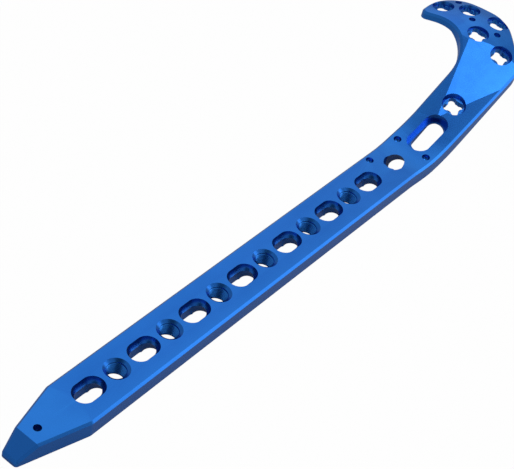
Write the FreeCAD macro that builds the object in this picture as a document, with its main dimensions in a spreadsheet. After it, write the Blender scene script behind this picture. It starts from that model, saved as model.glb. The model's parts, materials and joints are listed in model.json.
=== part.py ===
import FreeCAD, Part
import math
import os

from FreeCAD import Placement, Rotation, Vector

# Orthopedic bone plate for the upper end of the shin bone, one machined piece.
# Frame: origin on the flat top face of the shaft, halfway along its row of compression slots.
# +X runs along the shaft to the head, +Y is the side of the head's wing, +Z is up, away from the
# bone. All lengths are in millimetres and all angles in degrees.
# A size named ..._reach runs from the first compression slot towards the tip, a size named
# ..._gap from the last one towards the head, and the head's own ..._gap sizes from its start.

doc = FreeCAD.newDocument("bone_plate")
sheet = doc.addObject("Spreadsheet::Sheet", "sizes")

DRIVING = [
    # The shaft, its edges and its thin tip
    ("shaft_width", 15.5),
    ("shaft_thickness", 5.05),
    ("edge_bevel", 0.64),
    ("tip_reach", 26.5),
    ("tip_width", 4.9),
    ("tip_corner", 1.0),
    ("taper_reach", 6.7),
    ("taper_corner", 3.0),
    ("ramp_length", 5.5),
    ("ramp_angle", 32.5),
    # Compression slots, with a threaded hole midway between each pair
    ("slot_count", 7),
    ("slot_pitch", 20.0),
    ("slot_travel", 3.2),
    ("slot_width", 4.7),
    ("undercut_radius", 2.2),
    ("undercut_angle", 30.0),
    ("seat_width", 6.57),
    ("seat_depth", 1.8),
    ("thread_rim_radius", 3.6),
    ("thread_rim_depth", 0.7),
    ("thread_bore_radius", 2.7),
    ("wire_radius", 1.1),
    ("tip_wire_reach", 17.5),
    # The neck, where the plate lifts off the shaft's line
    ("neck_width", 16.4),
    ("neck_gap", 24.0),
    ("neck_blend", 9.0),
    ("neck_corner", 60.0),
    ("bend_gap", 17.0),
    ("bend_radius", 50.0),
    ("lift_angle", 18.8),
    ("under_lift_angle", 23.0),
    ("guide_gap", 14.2),
    ("guide_rise_angle", 43.5),
    ("guide_twist_angle", 5.0),
    ("guide_rim_radius", 3.0),
    ("guide_rim_depth", 0.7),
    ("guide_bore_radius", 2.75),
    ("pit_gap", 8.5),
    ("pit_pitch", 15.0),
    ("pit_inset", 2.33),
    ("pit_radius", 1.25),
    ("pit_depth", 1.5),
    ("window_gap", 31.5),
    ("window_travel", 8.8),
    ("window_rim_width", 7.7),
    ("window_rim_depth", 2.4),
    ("window_slot_travel", 7.6),
    ("window_slot_width", 5.7),
    ("neck_hole_gap", 44.7),
    ("neck_hole_rise_angle", 19.0),
    ("neck_hole_twist_angle", 6.0),
    ("neck_hole_radius", 3.8),
    # The flat facet beside the neck hole, which twists the plate towards -Y, and the flank on
    # its +Y side
    ("facet_gap", 47.8),
    ("facet_side", 2.9),
    ("facet_rise_angle", 23.2),
    ("facet_twist_angle", 11.3),
    ("flank_gap", 38.0),
    ("flank_lift", 0.3),
    ("flank_rise_angle", 25.7),
    ("flank_twist_angle", 2.8),
    # The head's outline
    ("notch_gap", 52.2),
    ("notch_radius", 15.0),
    ("wing_lean_angle", 7.0),
    ("wing_reach", 31.0),
    ("wing_near_radius", 2.8),
    ("wing_far_radius", 11.0),
    ("head_length", 30.7),
    ("brow_radius", 14.0),
    ("elbow_gap", 15.3),
    ("elbow_angle", 45.0),
    ("elbow_radius", 8.0),
    # The head's domed top
    ("head_thickness", 3.2),
    ("wing_thickness", 2.5),
    ("dome_gap", 15.8),
    ("dome_side", 3.0),
    ("dome_height", 17.5),
    ("dome_rise_angle", 9.65),
    ("dome_twist_angle", 8.0),
    ("dome_radius_along", 62.5),
    ("dome_radius_across", 66.7),
    ("dome_warp_angle", 0.17),
    # Locking holes of the head, each with its own tilt
    ("head_hole_radius", 3.6),
    ("lobe_rim_depth", 1.0),
    ("lobe_reach", 3.3),
    ("lobe_radius", 1.2),
    ("lobe_core_radius", 2.4),
    ("near_hole_gap", 14.9),
    ("near_hole_side", -0.6),
    ("near_hole_rise_angle", 9.5),
    ("near_hole_twist_angle", 14.0),
    ("middle_hole_gap", 16.4),
    ("middle_hole_side", 9.85),
    ("middle_hole_rise_angle", 7.7),
    ("middle_hole_twist_angle", 4.4),
    ("brow_hole_gap", 26.2),
    ("brow_hole_side", 8.4),
    ("brow_hole_rise_angle", -2.0),
    ("brow_hole_twist_angle", 4.5),
    ("wing_hole_gap", 25.35),
    ("wing_hole_side", 18.9),
    ("wing_hole_rise_angle", -4.0),
    ("wing_hole_twist_angle", -6.8),
    ("end_hole_gap", 21.6),
    ("end_hole_side", 26.6),
    ("end_hole_rise_angle", -2.9),
    ("end_hole_twist_angle", -12.4),
    # Small wire holes between them
    ("inner_wire_gap", 20.8),
    ("inner_wire_side", 5.2),
    ("middle_wire_gap", 21.0),
    ("middle_wire_side", 15.2),
    ("outer_wire_gap", 27.4),
    ("outer_wire_side", 24.3),
]

for row, (name, value) in enumerate(DRIVING, start=1):
    sheet.set("A%d" % row, name)
    sheet.set("B%d" % row, str(value))
    sheet.setAlias("B%d" % row, name)
doc.recompute()
size = {name: float(getattr(sheet, name)) for name, _ in DRIVING}


def slope(name):
    """Rise per unit length of the angle of this name."""
    return math.tan(math.radians(size[name]))


# Places worked out from the sizes

UP = Vector(0, 0, 1)
CLEAR = 2.0
FLAT = 1e-4
SHEET = "sizes."
REACH = 3 * size["shaft_thickness"]
slot_total = int(round(size["slot_count"]))
half_width = size["shaft_width"] / 2
neck_half = size["neck_width"] / 2
shaft_end = (slot_total - 1) / 2 * size["slot_pitch"]
shaft_start = -shaft_end
tip_end = shaft_start - size["tip_reach"]
bend_start = shaft_end + size["bend_gap"]
head_start = shaft_end + size["notch_gap"]
head_end = head_start + size["head_length"]
plate_length = head_end - tip_end
stock = plate_length / 2


def bend_height(x, radius, angle_name):
    """Height of a face that leaves the shaft's level at bend_start and then runs on straight."""
    angle = math.radians(size[angle_name])
    run = x - bend_start
    if run <= 0:
        return 0.0
    if run < radius * math.sin(angle):
        return radius - math.sqrt(radius ** 2 - run ** 2)
    end = radius * (1 - math.cos(angle))
    return end + (run - radius * math.sin(angle)) * math.tan(angle)


def neck_height(x):
    return bend_height(x, size["bend_radius"], "lift_angle")


class Plane:
    """A tilted plane through one point, with its slopes along X and along Y."""

    def __init__(self, point, along, across):
        self.point = point
        self.along = along
        self.across = across

    def height(self, x, y):
        rise = self.along * (x - self.point.x) + self.across * (y - self.point.y)
        return self.point.z + rise

    def normal(self):
        return Vector(-self.along, -self.across, 1).normalize()

    def lowered(self, thickness):
        return Plane(self.point - self.normal() * thickness, self.along, self.across)


class Dome:
    """The head's top: a height with a slope and a curvature in each direction."""

    def __init__(self, drop=0.0):
        self.x = head_start + size["dome_gap"]
        self.y = size["dome_side"]
        self.z = size["dome_height"] - drop
        self.along = slope("dome_rise_angle")
        self.across = slope("dome_twist_angle")
        self.bow_along = -0.5 / size["dome_radius_along"]
        self.bow_across = -0.5 / size["dome_radius_across"]
        self.warp = -slope("dome_warp_angle")

    def blend(self, u1, u2, v1, v2):
        """The height's polar form, which gives a point of the face where u1 = u2 and v1 = v2."""
        flat = self.along * (u1 + u2) / 2 + self.across * (v1 + v2) / 2
        bowed = self.bow_along * u1 * u2 + self.bow_across * v1 * v2
        return self.z + flat + bowed + self.warp * (u1 + u2) * (v1 + v2) / 4

    def height(self, x, y):
        u, v = x - self.x, y - self.y
        return self.blend(u, u, v, v)

    def slopes(self, x, y):
        u, v = x - self.x, y - self.y
        along = self.along + 2 * self.bow_along * u + self.warp * v
        across = self.across + 2 * self.bow_across * v + self.warp * u
        return along, across

    def face(self, x_range, y_range):
        """A quadratic patch over a rectangle of the plan."""
        surface = Part.BezierSurface()
        surface.increase(2, 2)
        u_pairs = [(x_range[0], x_range[0]), x_range, (x_range[1], x_range[1])]
        v_pairs = [(y_range[0], y_range[0]), y_range, (y_range[1], y_range[1])]
        for i, (x1, x2) in enumerate(u_pairs, start=1):
            for j, (y1, y2) in enumerate(v_pairs, start=1):
                z = self.blend(x1 - self.x, x2 - self.x, y1 - self.y, y2 - self.y)
                surface.setPole(i, j, Vector((x1 + x2) / 2, (y1 + y2) / 2, z))
        return surface.toShape()


facet_x = shaft_end + size["facet_gap"]
facet = Plane(Vector(facet_x, -size["facet_side"], neck_height(facet_x)),
              slope("facet_rise_angle"), slope("facet_twist_angle"))
flank_x = shaft_end + size["flank_gap"]
flank = Plane(Vector(flank_x, half_width, neck_height(flank_x) + size["flank_lift"]),
              slope("flank_rise_angle"), slope("flank_twist_angle"))
dome = Dome()
dome_from = head_start - CLEAR


def top_height(x, y):
    """Height of the plate's top face over a point of the plan."""
    height = max(neck_height(x), min(facet.height(x, y), flank.height(x, y)))
    if x > dome_from:
        height = min(height, dome.height(x, y))
    return height


# Building blocks

def rounded_wire(corners):
    """A closed wire through (point, radius) corners, each rounded to its radius."""
    bends = []
    for index, (point, radius) in enumerate(corners):
        back = (corners[index - 1][0] - point).normalize()
        ahead = (corners[(index + 1) % len(corners)][0] - point).normalize()
        half = back.getAngle(ahead) / 2
        middle = (back + ahead).normalize()
        setback = radius / math.tan(half)
        crown = point + middle * (radius / math.sin(half) - radius)
        bends.append((point + back * setback, crown, point + ahead * setback, radius))
    edges = []
    for index, (start, crown, end, radius) in enumerate(bends):
        if radius > 0:
            edges.append(Part.Arc(start, crown, end).toShape())
        edges.append(Part.LineSegment(end, bends[(index + 1) % len(bends)][0]).toShape())
    return Part.Wire(edges)


def feature(name, shape):
    made = doc.addObject("Part::Feature", name)
    made.Shape = shape
    return made


def box(name, placement, length, width, height):
    made = doc.addObject("Part::Box", name)
    made.Length = length
    made.Width = width
    made.Height = height
    made.Placement = placement
    return made


def stretch(name, near, far):
    """A box that holds the whole plate between two places along X."""
    corner = Vector(near, -stock, -stock)
    return box(name, Placement(corner, Rotation()), far - near, 2 * stock, 2 * stock)


def primitive(kind, name, placement, **bound):
    """A Part primitive whose sizes are bound to the sheet."""
    made = doc.addObject(kind, name)
    for prop, expression in bound.items():
        made.setExpression(prop, expression)
    made.Placement = placement
    return made


def prism(name, base, direction, length):
    """A solid swept straight from a wire or a face."""
    made = doc.addObject("Part::Extrusion", name)
    made.Base = base
    made.DirMode = "Custom"
    made.Dir = direction
    made.Solid = True
    made.LengthFwd = length
    return made


def fused(name, shapes):
    made = doc.addObject("Part::MultiFuse", name)
    made.Shapes = shapes
    return made


def shared(name, shapes):
    made = doc.addObject("Part::MultiCommon", name)
    made.Shapes = shapes
    return made


def cut(name, base, tool):
    made = doc.addObject("Part::Cut", name)
    made.Base = base
    made.Tool = tool
    return made


# The blank: the plan outline, trimmed by the top faces and by the same faces lowered

def plan_outline():
    """The plate seen from above, counted round from the tip along the -Y side."""
    tip_half = size["tip_width"] / 2
    taper = shaft_start - size["taper_reach"]
    neck = shaft_end + size["neck_gap"]
    elbow = head_start + size["elbow_gap"]
    brow = -neck_half + (head_end - elbow) * slope("elbow_angle")
    lean = math.radians(size["wing_lean_angle"])
    notch_turn = math.radians(90) + lean
    notch = head_start + size["notch_radius"] * math.tan(notch_turn / 2)
    wing_end = notch - (size["wing_reach"] - neck_half) * math.tan(lean)
    return rounded_wire([
        (Vector(tip_end, -tip_half, 0), size["tip_corner"]),
        (Vector(taper, -half_width, 0), size["taper_corner"]),
        (Vector(neck - size["neck_blend"], -half_width, 0), size["neck_corner"]),
        (Vector(neck, -neck_half, 0), size["neck_corner"]),
        (Vector(elbow, -neck_half, 0), size["elbow_radius"]),
        (Vector(head_end, brow, 0), size["brow_radius"]),
        (Vector(head_end, size["wing_reach"], 0), size["wing_far_radius"]),
        (Vector(wing_end, size["wing_reach"], 0), size["wing_near_radius"]),
        (Vector(notch, neck_half, 0), size["notch_radius"]),
        (Vector(neck, neck_half, 0), size["neck_corner"]),
        (Vector(neck - size["neck_blend"], half_width, 0), size["neck_corner"]),
        (Vector(taper, half_width, 0), size["taper_corner"]),
        (Vector(tip_end, tip_half, 0), size["tip_corner"]),
    ])


def bend_profile(level, radius, angle_name):
    """Side view of all that lies under the bent face at this level, on the plane y = -stock."""
    angle = math.radians(size[angle_name])
    corner = bend_start + radius * math.tan(angle / 2)
    near, far = tip_end - CLEAR, head_end + CLEAR
    rise = (far - corner) * math.tan(angle)
    return rounded_wire([
        (Vector(near, -stock, level), 0.0),
        (Vector(corner, -stock, level), radius),
        (Vector(far, -stock, level + rise), 0.0),
        (Vector(far, -stock, -stock), 0.0),
        (Vector(near, -stock, -stock), 0.0),
    ])


def under_bend(name, level, radius, angle_name):
    profile = feature(name + "_profile", bend_profile(level, radius, angle_name))
    return prism(name, profile, Vector(0, 1, 0), 2 * stock)


def under_plane(name, plane):
    """A large block whose upper face lies on a plane."""
    turn = Rotation(UP, plane.normal())
    corner = plane.point - turn.multVec(Vector(stock, stock, 2 * stock))
    return box(name, Placement(corner, turn), 2 * stock, 2 * stock, 2 * stock)


def over_dome(name, drop):
    """All that lies over the dome, lowered by a drop, in the head."""
    patch = Dome(drop).face((dome_from, head_end + CLEAR),
                            (-neck_half - CLEAR, size["wing_reach"] + CLEAR))
    return prism(name, feature(name + "_face", patch), UP, 2 * stock)


def bevelled(name, body, cut_x):
    """The body with its top outline bevelled, but not where it was cut off at x = cut_x."""
    doc.recompute()
    chosen = []
    for index, edge in enumerate(body.Shape.Edges, start=1):
        middle = edge.valueAt((edge.FirstParameter + edge.LastParameter) / 2)
        upright = [abs(face.normalAt(*face.Surface.parameter(middle)).z) < FLAT
                   for face in body.Shape.ancestorsOfType(edge, Part.Face)]
        if sum(upright) == 1 and middle.z > -stock + CLEAR and abs(middle.x - cut_x) > FLAT:
            chosen.append((index, size["edge_bevel"], size["edge_bevel"]))
    made = doc.addObject("Part::Chamfer", name)
    made.Base = body
    made.Edges = chosen
    return made


outline = feature("outline", plan_outline())
outline.Placement = Placement(Vector(0, 0, -stock), Rotation())
column = prism("column", outline, UP, 2 * stock)
neck_box = stretch("neck_box", bend_start, head_end + CLEAR)
head_box = stretch("head_box", dome_from, head_end + CLEAR)
tip_box = stretch("tip_box", tip_end - CLEAR, shaft_start)

bent = shared("bent", [column, under_bend("under_bend", 0.0, size["bend_radius"], "lift_angle")])
faceted = shared("faceted", [column, neck_box, under_plane("under_facet", facet)])
flanked = shared("flanked", [column, neck_box, under_plane("under_flank", flank)])
ramp = Plane(Vector(tip_end + size["ramp_length"], 0, 0), slope("ramp_angle"), 0)
ramped = shared("ramped", [column, tip_box, under_plane("under_ramp", ramp)])
domed = cut("domed", shared("head_column", [column, head_box]), over_dome("over_dome", 0.0))

raised = fused("raised", [bevelled("bent_bevelled", bent, head_end + stock),
                          shared("raised_head", [bevelled("faceted_bevelled", faceted, bend_start),
                                                 bevelled("flanked_bevelled", flanked, bend_start)])])
over_head = cut("over_head", shared("head_stock", [column, head_box]),
                bevelled("domed_bevelled", domed, dome_from))
over_tip = cut("over_tip", shared("tip_stock", [column, tip_box]),
               bevelled("ramped_bevelled", ramped, shaft_start))

thickness = size["head_thickness"]
low_bend = under_bend("low_bend", -size["shaft_thickness"],
                      size["bend_radius"] + size["shaft_thickness"], "under_lift_angle")
low_planes = shared("low_planes", [under_plane("low_facet", facet.lowered(thickness)),
                                   under_plane("low_flank", flank.lowered(thickness))])
low_flats = fused("low_flats", [low_bend, low_planes])
hollow = cut("hollow", low_flats, over_dome("low_dome", size["wing_thickness"]))
waste = fused("waste", [over_head, over_tip, hollow])
blank = cut("blank", raised, waste)


# The holes

def seat(x, y, along=None, across=None):
    """A placement on the top face over (x, y), with its Z axis along the hole's own axis."""
    if along is None:
        step = CLEAR / 10
        along = (neck_height(x + step) - neck_height(x - step)) / (2 * step)
        across = 0.0
    axis = Vector(-along, -across, 1)
    return Placement(Vector(x, y, top_height(x, y)), Rotation(Vector(1, 0, along), Vector(), axis, "ZXY"))


def at(place, x=0.0, y=0.0, z=0.0, turn=Rotation()):
    return place.multiply(Placement(Vector(x, y, z), turn))


def drill(name, place, radius):
    """A plain cutter right through the plate."""
    return primitive("Part::Cylinder", name, at(place, z=-REACH),
                     Radius=radius, Height="6 * %sshaft_thickness" % SHEET)


def countersink(name, place, bore, rim, depth):
    """A cone down to the bore that has its rim at the top face, and the air over it."""
    mouth = "%s%s + (%s%s - %s%s) / 2" % (SHEET, rim, SHEET, rim, SHEET, bore)
    return [
        primitive("Part::Cone", name + "_sink", at(place, z=-size[depth]),
                  Radius1=SHEET + bore, Radius2=mouth, Height="%s%s * 3 / 2" % (SHEET, depth)),
        primitive("Part::Cylinder", name + "_air", at(place, z=size[depth] / 2),
                  Radius=mouth, Height="%g" % CLEAR),
    ]


def sunk_hole(name, place, bore, rim, depth):
    return fused(name, [drill(name + "_bore", place, SHEET + bore)]
                 + countersink(name, place, bore, rim, depth))


def slot_cut(name, place, travel, width, depth):
    """A cutter with round ends, from a depth below the top face up into the air."""
    half = size[travel] / 2
    height = "%g" % (depth + REACH)
    ends = [primitive("Part::Cylinder", "%s_end_%d" % (name, side + 2),
                      at(place, x=side * half, z=-depth), Radius=SHEET + width + " / 2", Height=height)
            for side in (-1, 1)]
    middle = primitive("Part::Box", name + "_middle",
                       at(place, x=-half, y=-size[width] / 2, z=-depth),
                       Length=SHEET + travel, Width=SHEET + width, Height=height)
    return ends + [middle]


def compression_slot(name, place):
    """A through slot under a bowl for a round screw head, undercut at both ends for a tilted screw."""
    rim, waist, depth = size["seat_width"] / 2, size["slot_width"] / 2, size["seat_depth"]
    lift = (rim ** 2 - waist ** 2 - depth ** 2) / (2 * depth)
    radius = math.hypot(rim, lift)
    half = size["slot_travel"] / 2
    bowls = []
    for side in (-1, 1):
        bowl = doc.addObject("Part::Sphere", "%s_bowl_%d" % (name, side + 2))
        bowl.Radius = radius
        bowl.Placement = at(place, x=side * half, z=lift)
        bowls.append(bowl)
    trough = doc.addObject("Part::Cylinder", name + "_trough")
    trough.Radius = radius
    trough.Height = 2 * half
    trough.Placement = at(place, x=-half, z=lift, turn=Rotation(Vector(0, 1, 0), 90))
    undercuts = []
    for side in (-1, 1):
        lean = Rotation(Vector(0, 1, 0), -side * size["undercut_angle"])
        base = at(place, x=side * half, z=-depth, turn=lean)
        undercuts.append(primitive("Part::Cylinder", "%s_undercut_%d" % (name, side + 2), at(base, z=-REACH),
                                   Radius=SHEET + "undercut_radius", Height="3 * %sshaft_thickness" % SHEET))
    slot = slot_cut(name, place, "slot_travel", "slot_width", REACH)
    return fused(name, bowls + [trough] + slot + undercuts)


def lobed_hole(name, place, rim):
    """A locking hole: a cone that ends in four lobes with a thread column between each pair."""
    offset = size["lobe_reach"] - size["lobe_radius"]
    lobes = [drill("%s_lobe_%d" % (name, quarter),
                   at(place, turn=Rotation(UP, 45 + 90 * quarter)).multiply(
                       Placement(Vector(offset, 0, 0), Rotation())), SHEET + "lobe_radius")
             for quarter in range(4)]
    core = drill(name + "_core", place, SHEET + "lobe_core_radius")
    return fused(name, lobes + [core] + countersink(name, place, "lobe_reach", rim, "lobe_rim_depth"))


def pit(name, place):
    """A blind hole with a round bottom."""
    wall = -(size["pit_depth"] - size["pit_radius"])
    return fused(name, [
        primitive("Part::Cylinder", name + "_wall", at(place, z=wall), Radius=SHEET + "pit_radius",
                  Height="%spit_depth - %spit_radius + %g" % (SHEET, SHEET, CLEAR)),
        primitive("Part::Sphere", name + "_bottom", at(place, z=wall), Radius=SHEET + "pit_radius"),
    ])


cutters = []
for number in range(slot_total):
    cutters.append(compression_slot("compression_slot_%d" % (number + 1),
                                    seat(shaft_start + number * size["slot_pitch"], 0.0)))
for number in range(slot_total - 1):
    cutters.append(sunk_hole("thread_hole_%d" % (number + 1),
                             seat(shaft_start + (number + 0.5) * size["slot_pitch"], 0.0),
                             "thread_bore_radius", "thread_rim_radius", "thread_rim_depth"))
cutters.append(drill("tip_wire_hole", seat(shaft_start - size["tip_wire_reach"], 0.0), SHEET + "wire_radius"))
guide = seat(shaft_end + size["guide_gap"], 0.0, slope("guide_rise_angle"), slope("guide_twist_angle"))
cutters.append(sunk_hole("guide_hole", guide,
                         "guide_bore_radius", "guide_rim_radius", "guide_rim_depth"))
pit_side = half_width - size["pit_inset"]
pit_x = shaft_end + size["pit_gap"]
cutters.append(pit("shaft_pit", seat(pit_x, pit_side)))
cutters.append(pit("neck_pit_left", seat(pit_x + size["pit_pitch"], pit_side)))
cutters.append(pit("neck_pit_right", seat(pit_x + size["pit_pitch"], -pit_side)))
window = seat(shaft_end + size["window_gap"], 0.0)
window_slot = at(window, x=(size["window_travel"] - size["window_slot_travel"]) / 2)
cutters.append(fused("window",
                     slot_cut("window_slot", window_slot, "window_slot_travel", "window_slot_width", REACH)
                     + slot_cut("window_rim", window, "window_travel", "window_rim_width",
                                size["window_rim_depth"])))


def head_seat(name, x, y):
    """The seat of a head hole, tilted by its own two angles."""
    return seat(x, y, slope(name + "_rise_angle"), slope(name + "_twist_angle"))


head_cutters = [lobed_hole("neck_hole", head_seat("neck_hole", shaft_end + size["neck_hole_gap"], 0.0),
                           "neck_hole_radius")]
for name in ("near_hole", "middle_hole", "brow_hole", "wing_hole", "end_hole"):
    place = head_seat(name, head_start + size[name + "_gap"], size[name + "_side"])
    head_cutters.append(lobed_hole(name, place, "head_hole_radius"))
for name in ("inner_wire", "middle_wire", "outer_wire"):
    place = seat(head_start + size[name + "_gap"], size[name + "_side"], 0.0, 0.0)
    head_cutters.append(drill(name, place, SHEET + "wire_radius"))

head_cut = blank
for cutter in head_cutters:
    head_cut = cut("with_" + cutter.Name, head_cut, cutter)
plate = cut("bone_plate", head_cut, fused("shaft_holes", cutters))
doc.recompute()

for made in doc.Objects:
    if "Invalid" in made.State or "Error" in made.State:
        raise RuntimeError("%s didn't compute: %s" % (made.Name, made.State))
    if hasattr(made, "Shape") and (made.Shape.isNull() or not made.Shape.isValid()):
        raise RuntimeError("%s has no valid shape" % made.Name)
if len(plate.Shape.Solids) != 1:
    raise RuntimeError("the plate isn't one solid")

os.makedirs("parts", exist_ok=True)
plate.Shape.exportStep("parts/bone_plate.step")
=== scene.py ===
import json
import math

import bmesh
import bpy
from bpy.props import FloatProperty, FloatVectorProperty, IntProperty, PointerProperty
from mathutils import Matrix, Quaternion, Vector


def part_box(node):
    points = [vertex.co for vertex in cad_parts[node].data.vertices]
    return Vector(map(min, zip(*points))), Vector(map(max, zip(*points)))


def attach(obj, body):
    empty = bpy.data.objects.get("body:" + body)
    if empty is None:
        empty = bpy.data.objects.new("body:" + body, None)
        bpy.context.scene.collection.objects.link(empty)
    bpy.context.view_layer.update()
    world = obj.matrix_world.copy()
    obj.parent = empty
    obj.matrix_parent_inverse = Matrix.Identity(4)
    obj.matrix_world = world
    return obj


bl_info = {
    "name": "Orthopedic Bone Plate",
    "version": (1, 0, 0),
    "blender": (4, 5, 0),
    "location": "View3D > Sidebar > Bone Plate",
    "description": "Dresses a blue anodised bone plate and sets it up in a white studio",
    "category": "Object",
}

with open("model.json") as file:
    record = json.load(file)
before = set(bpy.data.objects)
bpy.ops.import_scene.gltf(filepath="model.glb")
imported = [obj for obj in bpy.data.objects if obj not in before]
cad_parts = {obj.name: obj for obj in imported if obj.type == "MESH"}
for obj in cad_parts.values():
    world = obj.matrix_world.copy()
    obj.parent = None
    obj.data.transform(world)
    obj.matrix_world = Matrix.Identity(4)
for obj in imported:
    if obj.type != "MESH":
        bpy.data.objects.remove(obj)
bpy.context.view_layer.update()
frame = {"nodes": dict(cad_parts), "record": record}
PLATE = "bone_plate"
BODY = "root"
MM = 0.001
plate_low, plate_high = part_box(PLATE)
mounts = {mount["name"]: mount for mount in frame["record"]["mounts"]}
shaft_bottom = mounts["underside"]["pos_m"][2]
HEAD_MIDDLE = Vector(mounts["middle_hole"]["pos_m"])
ROUND_HOLES = ("threads_inner", "threads_middle", "threads_outer")
LOBED_HOLES = ("neck_hole", "near_hole", "middle_hole", "brow_hole", "wing_hole", "end_hole")

# Form of the threads: a ridge is widest at its foot, and fades in and out over a share of a turn.
SINK_DEPTH = 0.75 * MM
COLUMNS = 4
FOOT_SHARE = 0.46
CREST_SHARE = 0.12
LONG_FADE = 0.5
SHORT_FADE = 0.02
FEWEST_STEPS = 4

# Scales and ranges of the noise in the satin finish, and the pointiness range and share of the painted
# highlight along edges.
TINT_SCALE = 45.0
GRAIN_SCALE = 5200.0
SMEAR_SCALE = 260.0
TINT_RANGE = (0.35, 0.65)
EDGE_RANGE = (0.53, 0.60)
EDGE_SHARE = 0.55
ROUGHNESS_CHANGE = 0.05
GRAIN_STRENGTH = 0.35

FLOOR_GAP = 0.05 * MM
FLOOR_ROUGHNESS = 0.9


class BonePlateFinish(bpy.types.PropertyGroup):
    """Colours and surface of the anodised titanium."""

    blue: FloatVectorProperty(
        name="Blue", description="Anodised blue of the satin faces", subtype="COLOR",
        size=3, min=0, max=1, default=(0.022, 0.160, 0.610))
    deep_blue: FloatVectorProperty(
        name="Deep blue", description="Where the oxide layer is a little thinner", subtype="COLOR",
        size=3, min=0, max=1, default=(0.019, 0.147, 0.570))
    edge_blue: FloatVectorProperty(
        name="Edge blue", description="Paler blue that the light catches along edges", subtype="COLOR",
        size=3, min=0, max=1, default=(0.030, 0.225, 0.740))
    roughness: FloatProperty(
        name="Roughness", description="Mean roughness of the blasted satin face",
        subtype="FACTOR", min=0, max=1, default=0.27)
    grain: FloatProperty(
        name="Grain", description="Height of the blasted grain", unit="LENGTH",
        min=0, default=0.004 * MM)


class BonePlateThread(bpy.types.PropertyGroup):
    """The screw threads in the shaft's round holes and in the lobed holes."""

    pitch: FloatProperty(
        name="Pitch", description="Rise of the thread in one turn", unit="LENGTH",
        min=0.2 * MM, default=0.5 * MM)
    height: FloatProperty(
        name="Height", description="How far the thread stands in from the bore's wall", unit="LENGTH",
        min=0, default=0.24 * MM)
    root: FloatProperty(
        name="Root", description="How far the thread is sunk into the bore's wall", unit="LENGTH",
        min=0, default=0.03 * MM)
    steps: IntProperty(
        name="Steps", description="Segments in one turn", min=12, default=48)
    column_radius: FloatProperty(
        name="Column radius", description="Radius of the thread columns in the lobed holes",
        unit="LENGTH", min=0, default=2.4 * MM)
    column_span: FloatProperty(
        name="Column span", description="Angle that one thread column covers between two lobes",
        subtype="ANGLE", min=0, default=math.radians(29))
    column_depth: FloatProperty(
        name="Column depth", description="How far under the rim the columns' thread starts",
        unit="LENGTH", min=0, default=1.15 * MM)
    column_rows: IntProperty(
        name="Column rows", description="Thread ridges on each column", min=1, default=3)


class BonePlateStudio(bpy.types.PropertyGroup):
    """Camera, floor and lights."""

    camera_place: FloatVectorProperty(
        name="Camera place", description="Where the camera stands", subtype="XYZ", unit="LENGTH",
        size=3, default=(-0.248663, -0.135582, 0.271023))
    camera_aim: FloatVectorProperty(
        name="Camera aim", description="Point on the shaft's top that is in the middle of the picture",
        subtype="XYZ", unit="LENGTH", size=3, default=(0.015597, 0.007394, 0.0))
    camera_roll: FloatProperty(
        name="Camera roll", description="Turn of the camera about its own line of sight",
        subtype="ANGLE", default=math.radians(15.176))
    lens: FloatProperty(
        name="Lens", description="Focal length on a 36 mm wide sensor", subtype="DISTANCE_CAMERA",
        min=1, default=101.958)
    ambient: FloatProperty(
        name="Ambient", description="Level of the light from all round", min=0, default=0.8)
    base_level: FloatProperty(
        name="Base level", description="Level of the walls and ceiling that the metal mirrors",
        subtype="FACTOR", min=0, max=1, default=0.46)
    bright_direction: FloatVectorProperty(
        name="Bright direction", description="Middle of the bright wall behind the plate", size=3,
        default=(0.56, 0.48, 0.68))
    bright_angles: FloatVectorProperty(
        name="Bright angles", description="Where the bright wall starts to fade and where it ends",
        size=2, default=(math.radians(8), math.radians(25)))
    dark_direction: FloatVectorProperty(
        name="Dark direction", description="Middle of the dark side, towards the camera's place", size=3,
        default=(-0.66, -0.33, 0.67))
    dark_angles: FloatVectorProperty(
        name="Dark angles", description="Where the dark side starts to fade and where it ends",
        size=2, default=(math.radians(22), math.radians(36)))
    dark_level: FloatProperty(
        name="Dark level", description="Level of the dark side", subtype="FACTOR",
        min=0, max=1, default=0.08)
    floor_size: FloatProperty(
        name="Floor size", description="Half the floor's width", unit="LENGTH", min=0.1, default=3.0)
    floor_grey: FloatProperty(
        name="Floor grey", description="Level of the floor's own colour, which lights the plate from below",
        subtype="FACTOR", min=0, max=1, default=0.35)
    floor_white: FloatProperty(
        name="Floor white", description="Share of plain white in what the camera sees of the floor",
        subtype="FACTOR", min=0, max=1, default=0.985)
    floor_share: FloatProperty(
        name="Floor share", description="Share of the floor's white that metal shows",
        subtype="FACTOR", min=0, max=1, default=0.05)
    lamp_distance: FloatProperty(
        name="Lamp distance", description="From each softbox to what it is aimed at", unit="LENGTH",
        min=0.1, default=0.55)
    key_level: FloatProperty(
        name="Key level", description="Brightness of the softbox over the plate", min=0, default=2.3)
    key_direction: FloatVectorProperty(
        name="Key direction", description="From the head to the softbox over the plate", size=3,
        default=(0.15, -0.24, 0.96))
    key_size: FloatVectorProperty(
        name="Key size", description="Width and height of the softbox over the plate",
        unit="LENGTH", size=2, default=(0.30, 0.30))
    side_level: FloatProperty(
        name="Side level", description="Brightness of the low softbox beside the head", min=0, default=1.3)
    side_direction: FloatVectorProperty(
        name="Side direction", description="From the plate's middle to the low softbox", size=3,
        default=(0.62, -0.69, 0.37))
    side_size: FloatVectorProperty(
        name="Side size", description="Width and height of the low softbox",
        unit="LENGTH", size=2, default=(0.40, 0.26))


# Shader building

def add_node(tree, kind, place, **values):
    """A shader node with the named inputs or properties set."""
    made = tree.nodes.new(kind)
    made.location = place
    for name, value in values.items():
        if name in made.inputs:
            made.inputs[name].default_value = value
        else:
            setattr(made, name, value)
    return made


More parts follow.
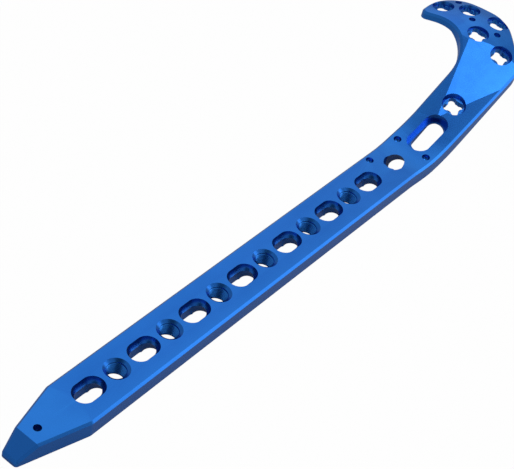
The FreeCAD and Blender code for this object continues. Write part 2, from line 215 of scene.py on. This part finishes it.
def ranged(tree, value, known, wanted, place, curve="LINEAR"):
    """A value mapped from one range to another, and kept inside it."""
    made = add_node(tree, "ShaderNodeMapRange", place, interpolation_type=curve)
    for name, number in zip(("From Min", "From Max", "To Min", "To Max"), (*known, *wanted)):
        made.inputs[name].default_value = number
    tree.links.new(value, made.inputs["Value"])
    return made.outputs["Result"]


def satin_grain_group():
    """Slow drift of the anodised tint, a painted highlight of paler blue along convex edges, and the fine
    grain that blasting leaves.
    """
    group = bpy.data.node_groups.new("Satin Grain", "ShaderNodeTree")
    face = group.interface
    for name, kind in (("Tint A", "NodeSocketColor"), ("Tint B", "NodeSocketColor"),
                       ("Edge Tint", "NodeSocketColor"), ("Mean Roughness", "NodeSocketFloat"),
                       ("Grain Height", "NodeSocketFloat")):
        face.new_socket(name=name, in_out="INPUT", socket_type=kind)
    for name, kind in (("Color", "NodeSocketColor"), ("Roughness", "NodeSocketFloat"),
                       ("Normal", "NodeSocketVector")):
        face.new_socket(name=name, in_out="OUTPUT", socket_type=kind)
    entry = group.nodes.new("NodeGroupInput")
    entry.location = (-900, 0)
    leave = group.nodes.new("NodeGroupOutput")
    leave.location = (700, 0)
    where = add_node(group, "ShaderNodeTexCoord", (-900, -300))
    drift = add_node(group, "ShaderNodeTexNoise", (-650, 200), Scale=TINT_SCALE, Detail=3.0)
    fine = add_node(group, "ShaderNodeTexNoise", (-650, -150), Scale=GRAIN_SCALE, Detail=4.0)
    smear = add_node(group, "ShaderNodeTexNoise", (-650, -450), Scale=SMEAR_SCALE, Detail=2.0)
    for texture in (drift, fine, smear):
        group.links.new(where.outputs["Object"], texture.inputs["Vector"])
    tint = add_node(group, "ShaderNodeMix", (-350, 200), data_type="RGBA")
    spread = ranged(group, drift.outputs["Fac"], TINT_RANGE, (0.0, 1.0), (-500, 420))
    group.links.new(spread, tint.inputs["Factor"])
    group.links.new(entry.outputs["Tint A"], tint.inputs["A"])
    group.links.new(entry.outputs["Tint B"], tint.inputs["B"])
    # Painted highlight: the paler edge blue is mixed in where pointiness marks convex edges, in place of
    # light catching them.
    edge = add_node(group, "ShaderNodeNewGeometry", (-650, 650))
    painted_edge_highlight = ranged(group, edge.outputs["Pointiness"], EDGE_RANGE, (0.0, EDGE_SHARE), (-350, 650))
    rim = add_node(group, "ShaderNodeMix", (-50, 300), data_type="RGBA")
    group.links.new(painted_edge_highlight, rim.inputs["Factor"])
    group.links.new(tint.outputs["Result"], rim.inputs["A"])
    group.links.new(entry.outputs["Edge Tint"], rim.inputs["B"])
    group.links.new(rim.outputs["Result"], leave.inputs["Color"])
    change = ranged(group, smear.outputs["Fac"], (0.0, 1.0), (-ROUGHNESS_CHANGE, ROUGHNESS_CHANGE),
                    (-350, -450))
    rough = add_node(group, "ShaderNodeMath", (-50, -350), operation="ADD")
    group.links.new(entry.outputs["Mean Roughness"], rough.inputs[0])
    group.links.new(change, rough.inputs[1])
    group.links.new(rough.outputs["Value"], leave.inputs["Roughness"])
    bump = add_node(group, "ShaderNodeBump", (-50, -100), Strength=GRAIN_STRENGTH)
    group.links.new(entry.outputs["Grain Height"], bump.inputs["Distance"])
    group.links.new(fine.outputs["Fac"], bump.inputs["Height"])
    group.links.new(bump.outputs["Normal"], leave.inputs["Normal"])
    return group


def anodised_material(name, finish):
    """Blue anodised titanium with a satin grain."""
    made = bpy.data.materials.new(name)
    made.use_nodes = True
    tree = made.node_tree
    shader = tree.nodes["Principled BSDF"]
    shader.inputs["Metallic"].default_value = 1.0
    group = bpy.data.node_groups.get("Satin Grain") or satin_grain_group()
    grain = tree.nodes.new("ShaderNodeGroup")
    grain.node_tree = group
    grain.location = (-350, 200)
    for socket, colour in (("Tint A", finish.blue), ("Tint B", finish.deep_blue),
                           ("Edge Tint", finish.edge_blue)):
        grain.inputs[socket].default_value = (*colour, 1.0)
    grain.inputs["Mean Roughness"].default_value = finish.roughness
    grain.inputs["Grain Height"].default_value = finish.grain
    tree.links.new(grain.outputs["Color"], shader.inputs["Base Color"])
    tree.links.new(grain.outputs["Roughness"], shader.inputs["Roughness"])
    tree.links.new(grain.outputs["Normal"], shader.inputs["Normal"])
    return made


# Thread geometry

def mesh_piece(name, fill, material):
    """A mesh piece that rides on the plate, filled by a function that gets its bmesh."""
    mesh = bpy.data.meshes.new(name)
    shape = bmesh.new()
    fill(shape)
    bmesh.ops.recalc_face_normals(shape, faces=shape.faces)
    shape.to_mesh(mesh)
    shape.free()
    mesh.materials.append(material)
    piece = bpy.data.objects.new(name, mesh)
    bpy.context.scene.collection.objects.link(piece)
    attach(piece, BODY)
    return piece


def ridge(shape, place, radius, low, rise, turn_range, thread, fade):
    """A thread ridge on a round wall, from one angle to another, tapered over a share of a turn."""
    start, end = turn_range
    count = max(FEWEST_STEPS, round((end - start) / (2 * math.pi) * thread.steps))
    taper = max(1.0, fade * thread.steps)
    foot = thread.pitch * FOOT_SHARE
    crest = foot * CREST_SHARE
    rings = []
    for step in range(count + 1):
        angle = start + (end - start) * step / count
        z = low + rise * step / count
        inner = radius - thread.height * min(1.0, step / taper, (count - step) / taper)
        outer = radius + thread.root
        profile = ((outer, -foot), (inner, -crest), (inner, crest), (outer, foot))
        rings.append([shape.verts.new(place @ Vector((r * math.cos(angle), r * math.sin(angle), z + dz)))
                      for r, dz in profile])
    for near, far in zip(rings, rings[1:]):
        for side in range(4):
            after = (side + 1) % 4
            shape.faces.new((near[side], near[after], far[after], far[side]))
    shape.faces.new(rings[0])
    shape.faces.new(rings[-1])


def hole_place(mount):
    """The frame of a tilted hole: Z along its axis, and X as near the shaft's X as that allows."""
    axis = Vector(mount["axis"]).normalized()
    along = Vector((axis.z, 0.0, -axis.x)).normalized()
    across = axis.cross(along).normalized()
    along = across.cross(axis)
    turn = Matrix((along, across, axis)).transposed().to_4x4()
    return Matrix.Translation(mount["pos_m"]) @ turn


def lobed_thread(shape, place, thread):
    """The thread of a lobed hole: short ridges on its columns."""
    for column in range(COLUMNS):
        middle = column * 2 * math.pi / COLUMNS
        span = (middle - thread.column_span / 2, middle + thread.column_span / 2)
        for row in range(thread.column_rows):
            low = -thread.column_depth - row * thread.pitch
            ridge(shape, place, thread.column_radius, low, 0.0, span, thread, SHORT_FADE)


class BONEPLATE_OT_finish(bpy.types.Operator):
    """Give the plate its blue anodised finish"""

    bl_idname = "bone_plate.finish"
    bl_label = "Finish the Plate"

    def execute(self, context):
        finish = context.scene.bone_plate_finish
        material = anodised_material("Anodised Titanium", finish)
        plate = frame["nodes"][PLATE]
        for slot in plate.material_slots:
            slot.material = material
        return {"FINISHED"}


class BONEPLATE_OT_threads(bpy.types.Operator):
    """Set the screw threads into the shaft's round holes and the lobed holes"""

    bl_idname = "bone_plate.threads"
    bl_label = "Add the Threads"

    def execute(self, context):
        thread = context.scene.bone_plate_thread
        material = anodised_material("Threaded Titanium", context.scene.bone_plate_finish)
        for name in ROUND_HOLES:
            mount = mounts[name]
            radius = mount["dims"]["hole_r_mm"] * MM
            half = mount["dims"]["spacing_x_mm"] * MM / 2
            low = shaft_bottom + thread.pitch / 2
            rise = -SINK_DEPTH - low
            around = (0.0, rise / thread.pitch * 2 * math.pi)
            for side, word in ((-1, "tip_side"), (1, "head_side")):
                place = Matrix.Translation((mount["pos_m"][0] + side * half, mount["pos_m"][1], 0.0))
                mesh_piece("%s_%s" % (name, word),
                           lambda shape: ridge(shape, place, radius, low, rise, around, thread, LONG_FADE),
                           material)
        for name in LOBED_HOLES:
            mesh_piece(name + "_thread",
                       lambda shape: lobed_thread(shape, hole_place(mounts[name]), thread), material)
        return {"FINISHED"}


class BONEPLATE_OT_studio(bpy.types.Operator):
    """Set up the camera, the floor and the softboxes"""

    bl_idname = "bone_plate.studio"
    bl_label = "Set up the Studio"

    def execute(self, context):
        studio = context.scene.bone_plate_studio
        place_camera(studio)
        build_floor(studio)
        light_world(studio)
        plate_middle = (Vector(plate_low) + Vector(plate_high)) / 2
        softbox("Key Softbox", HEAD_MIDDLE, studio.key_direction, studio.lamp_distance,
                studio.key_size, studio.key_level)
        softbox("Side Softbox", plate_middle, studio.side_direction, studio.lamp_distance,
                studio.side_size, studio.side_level)
        context.scene.view_settings.view_transform = "Standard"
        return {"FINISHED"}


def place_camera(studio):
    """The camera at the photograph's viewing angle."""
    data = bpy.data.cameras.new("Photo Camera")
    data.lens = studio.lens
    data.sensor_width = 36.0
    data.clip_start = 0.01
    camera = bpy.data.objects.new("Photo Camera", data)
    bpy.context.scene.collection.objects.link(camera)
    ahead = Vector(studio.camera_aim) - Vector(studio.camera_place)
    turn = ahead.to_track_quat("-Z", "Y") @ Quaternion((0, 0, 1), studio.camera_roll)
    camera.matrix_world = Matrix.Translation(studio.camera_place) @ turn.to_matrix().to_4x4()
    bpy.context.scene.camera = camera


def background_mix(tree, lit, white, shares, place):
    """White for the camera and, by the second share, for reflections, and lit otherwise."""
    path = add_node(tree, "ShaderNodeLightPath", place)
    total = None
    for row, (ray, share) in enumerate((("Is Camera Ray", shares[0]), ("Is Glossy Ray", shares[1]),
                                        ("Is Transmission Ray", shares[1]))):
        seen = add_node(tree, "ShaderNodeMath", (place[0] + 200, place[1] - 180 * row),
                        operation="MULTIPLY_ADD")
        seen.inputs[1].default_value = share
        seen.inputs[2].default_value = 0.0
        tree.links.new(path.outputs[ray], seen.inputs[0])
        if total:
            tree.links.new(total, seen.inputs[2])
        total = seen.outputs["Value"]
    mix = add_node(tree, "ShaderNodeMixShader", (place[0] + 450, place[1] - 200))
    tree.links.new(total, mix.inputs["Fac"])
    tree.links.new(lit, mix.inputs[1])
    tree.links.new(white, mix.inputs[2])
    return mix.outputs["Shader"]


def build_floor(studio):
    """A wide floor that the plate's shaft lies on: grey for the light, and white for the camera."""
    material = bpy.data.materials.new("White Floor")
    material.use_nodes = True
    tree = material.node_tree
    shader = tree.nodes["Principled BSDF"]
    shader.inputs["Base Color"].default_value = (*[studio.floor_grey] * 3, 1.0)
    shader.inputs["Roughness"].default_value = FLOOR_ROUGHNESS
    shader.inputs["Specular IOR Level"].default_value = 0.0
    white = add_node(tree, "ShaderNodeEmission", (-300, 150), Strength=1.0)
    result = background_mix(tree, shader.outputs["BSDF"], white.outputs["Emission"],
                            (studio.floor_white, studio.floor_share), (-300, 700))
    tree.links.new(result, tree.nodes["Material Output"].inputs["Surface"])
    mesh = bpy.data.meshes.new("Floor")
    shape = bmesh.new()
    bmesh.ops.create_grid(shape, x_segments=1, y_segments=1, size=studio.floor_size)
    shape.to_mesh(mesh)
    shape.free()
    mesh.materials.append(material)
    floor = bpy.data.objects.new("Floor", mesh)
    floor.location.z = plate_low[2] - FLOOR_GAP
    bpy.context.scene.collection.objects.link(floor)


def patch(tree, look, direction, angles, place):
    """One within the first angle of a direction, and none past the second."""
    facing = add_node(tree, "ShaderNodeVectorMath", place, operation="DOT_PRODUCT")
    facing.inputs[1].default_value = Vector(direction).normalized()
    tree.links.new(look, facing.inputs[0])
    return ranged(tree, facing.outputs["Value"], (math.cos(angles[1]), math.cos(angles[0])), (0.0, 1.0),
                  (place[0] + 200, place[1]), "SMOOTHSTEP")


def sky_level(tree, studio, place):
    """The studio as metal shows it: a bright wall behind the plate, and a dark side in front."""
    look = add_node(tree, "ShaderNodeTexCoord", place)
    level = None
    for row, (direction, angles, seen) in enumerate((
            (studio.bright_direction, studio.bright_angles, 1.0),
            (studio.dark_direction, studio.dark_angles, studio.dark_level))):
        share = patch(tree, look.outputs["Generated"], direction, angles,
                      (place[0] + 200, place[1] - 250 * row))
        blend = add_node(tree, "ShaderNodeMix", (place[0] + 600 + 200 * row, place[1] - 250 * row))
        blend.inputs["A"].default_value = studio.base_level
        blend.inputs["B"].default_value = seen
        tree.links.new(share, blend.inputs["Factor"])
        if level:
            tree.links.new(level, blend.inputs["A"])
        level = blend.outputs["Result"]
    path = add_node(tree, "ShaderNodeLightPath", (place[0] + 800, place[1] + 350))
    shown = add_node(tree, "ShaderNodeMath", (place[0] + 1000, place[1]), operation="MAXIMUM")
    tree.links.new(level, shown.inputs[0])
    tree.links.new(path.outputs["Is Camera Ray"], shown.inputs[1])
    return shown.outputs["Value"]


def light_world(studio):
    """Even light from all round, white for the camera, and for metal the studio's own levels."""
    world = bpy.data.worlds.new("White Studio")
    bpy.context.scene.world = world
    world.use_nodes = True
    tree = world.node_tree
    around = tree.nodes["Background"]
    around.inputs["Color"].default_value = (1, 1, 1, 1)
    around.inputs["Strength"].default_value = studio.ambient
    white = add_node(tree, "ShaderNodeBackground", (-300, 150), Strength=1.0)
    tree.links.new(sky_level(tree, studio, (-1300, 150)), white.inputs["Color"])
    result = background_mix(tree, around.outputs["Background"], white.outputs["Background"], (1.0, 1.0),
                            (-300, 700))
    tree.links.new(result, tree.nodes["World Output"].inputs["Surface"])


def softbox(name, aim, direction, distance, size, level):
    """A rectangular lamp whose face has the given brightness."""
    data = bpy.data.lights.new(name, "AREA")
    data.shape = "RECTANGLE"
    data.size, data.size_y = size
    data.energy = level * math.pi * size[0] * size[1]
    lamp = bpy.data.objects.new(name, data)
    bpy.context.scene.collection.objects.link(lamp)
    away = Vector(direction).normalized()
    lamp.location = aim + away * distance
    lamp.rotation_mode = "QUATERNION"
    lamp.rotation_quaternion = away.to_track_quat("Z", "Y")


class BONEPLATE_PT_panel(bpy.types.Panel):
    """Sidebar panel with the plate's settings and its build steps"""

    bl_idname = "BONEPLATE_PT_panel"
    bl_label = "Bone Plate"
    bl_space_type = "VIEW_3D"
    bl_region_type = "UI"
    bl_category = "Bone Plate"

    def draw(self, context):
        scene = context.scene
        for settings in (scene.bone_plate_finish, scene.bone_plate_thread, scene.bone_plate_studio):
            box = self.layout.box()
            for name in settings.bl_rna.properties.keys():
                if name not in {"rna_type", "name"}:
                    box.prop(settings, name)
        for operator in OPERATORS:
            self.layout.operator(operator.bl_idname)


SETTINGS = {
    "bone_plate_finish": BonePlateFinish,
    "bone_plate_thread": BonePlateThread,
    "bone_plate_studio": BonePlateStudio,
}
OPERATORS = (BONEPLATE_OT_finish, BONEPLATE_OT_threads, BONEPLATE_OT_studio)


def register():
    for kind in (*SETTINGS.values(), *OPERATORS, BONEPLATE_PT_panel):
        bpy.utils.register_class(kind)
    for name, kind in SETTINGS.items():
        setattr(bpy.types.Scene, name, PointerProperty(type=kind))


def unregister():
    for name in SETTINGS:
        delattr(bpy.types.Scene, name)
    for kind in (BONEPLATE_PT_panel, *reversed(OPERATORS), *SETTINGS.values()):
        bpy.utils.unregister_class(kind)


def main():
    register()
    bpy.ops.bone_plate.finish()
    bpy.ops.bone_plate.threads()
    bpy.ops.bone_plate.studio()


if __name__ == "__main__":
    main()
